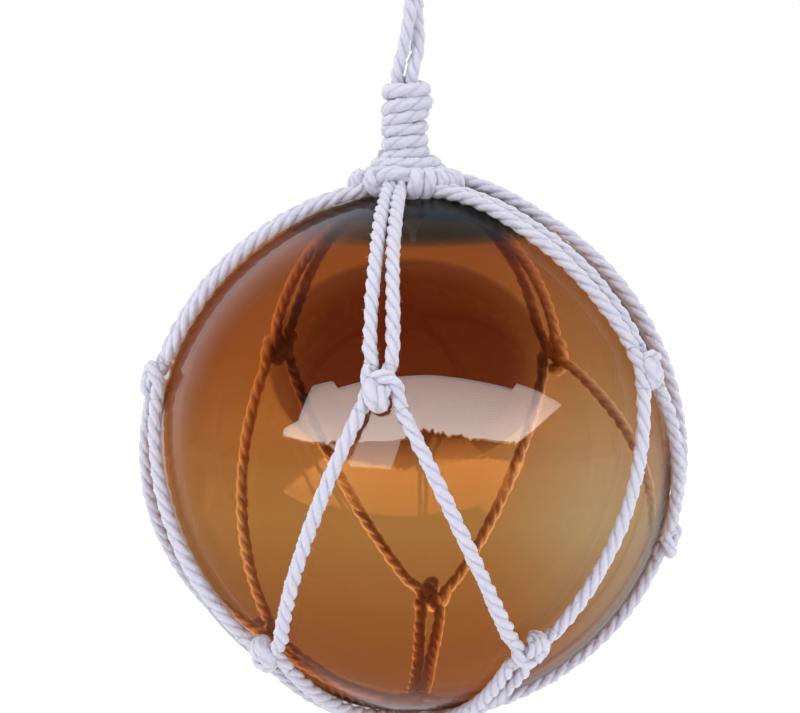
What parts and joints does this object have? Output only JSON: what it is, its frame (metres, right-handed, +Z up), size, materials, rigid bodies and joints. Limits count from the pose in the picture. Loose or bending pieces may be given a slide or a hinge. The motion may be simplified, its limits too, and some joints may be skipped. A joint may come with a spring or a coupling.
{
  "type": "glass float ball",
  "caption": "Hollow amber glass float ball in a net of knotted white cotton cord, with a whipped neck and a loop to hang it by.",
  "frame": {"origin": "inside the top bend of the hanging loop, where a hook bears", "axes": "+Z up along the hanging loop and away from the ball, -Y the front, +X to the right of the front"},
  "size_m": [0.1595, 0.1558, 0.2422],
  "materials": {
    "glass": "clear amber blown glass, glossy",
    "cotton": "three-strand twisted white cotton cord, matt and slightly fuzzy"
  },
  "bodies": {
    "root": {"bottom_ring": "cotton", "glass_ball": "glass", "hanging_loop": "cotton", "lower_cord_back_a": "cotton", "lower_cord_back_b": "cotton", "lower_cord_front_left_a": "cotton", "lower_cord_front_left_b": "cotton", "lower_cord_front_right_a": "cotton", "lower_cord_front_right_b": "cotton", "lower_cord_left_a": "cotton", "lower_cord_left_b": "cotton", "lower_cord_right_a": "cotton", "lower_cord_right_b": "cotton", "lower_knot_back": "cotton", "lower_knot_front_left": "cotton", "lower_knot_front_right": "cotton", "lower_knot_left": "cotton", "lower_knot_right": "cotton", "middle_cord_back_left_a": "cotton", "middle_cord_back_left_b": "cotton", "middle_cord_back_right_a": "cotton", "middle_cord_back_right_b": "cotton", "middle_cord_front_a": "cotton", "middle_cord_front_b": "cotton", "middle_cord_left_a": "cotton", "middle_cord_left_b": "cotton", "middle_cord_right_a": "cotton", "middle_cord_right_b": "cotton", "stay_cord": "cotton", "top_collar": "cotton", "upper_cord_back_left_a": "cotton", "upper_cord_back_left_b": "cotton", "upper_cord_back_right_a": "cotton", "upper_cord_back_right_b": "cotton", "upper_cord_front_a": "cotton", "upper_cord_front_b": "cotton", "upper_cord_left_a": "cotton", "upper_cord_left_b": "cotton", "upper_cord_right_a": "cotton", "upper_cord_right_b": "cotton", "upper_knot_back_left": "cotton", "upper_knot_back_right": "cotton", "upper_knot_front": "cotton", "upper_knot_left": "cotton", "upper_knot_right": "cotton", "whipped_neck": "cotton"}
  },
  "joints": []
}
